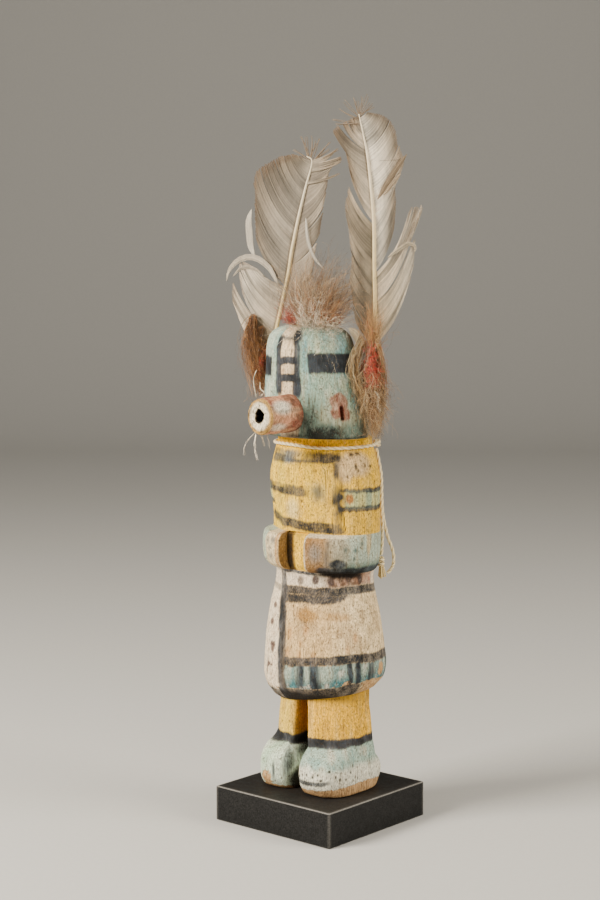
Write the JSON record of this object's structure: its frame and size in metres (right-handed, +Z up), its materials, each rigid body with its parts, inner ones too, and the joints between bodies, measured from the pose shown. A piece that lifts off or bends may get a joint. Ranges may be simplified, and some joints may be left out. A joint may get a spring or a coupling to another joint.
{
  "type": "kachina doll",
  "caption": "Carved and painted standing figure with a tube snout, upright feathers, fur tufts and a twine at the neck, on a low square socle.",
  "frame": {"origin": "centre of the socle's underside", "axes": "+Z up from the surface it stands on, the doll faces -Y, its left side is +X"},
  "size_m": [0.0954, 0.0831, 0.3546],
  "materials": {
    "socle_black": "satin black lacquer",
    "painted_wood": "worn matt mineral paint on cottonwood",
    "snout_wood": "worn matt paint",
    "feather": "silky grey-white vane",
    "fur": "soft tan fur",
    "dyed_fur": "red-dyed and tan fur",
    "brown_fur": "brown hair",
    "twine": "cotton twine"
  },
  "bodies": {
    "root": {"socle": "socle_black", "figure": "painted_wood", "snout": "snout_wood", "feather_right_ear": "feather", "feather_left_ear": "feather", "crown_tuft": "fur", "left_ear_tuft": "dyed_fur", "right_ear_tuft": "brown_fur", "neck_string": "twine", "nape_knot": "twine", "string_strand_inner": "twine", "string_strand_outer": "twine", "end_knot": "twine"}
  },
  "joints": []
}
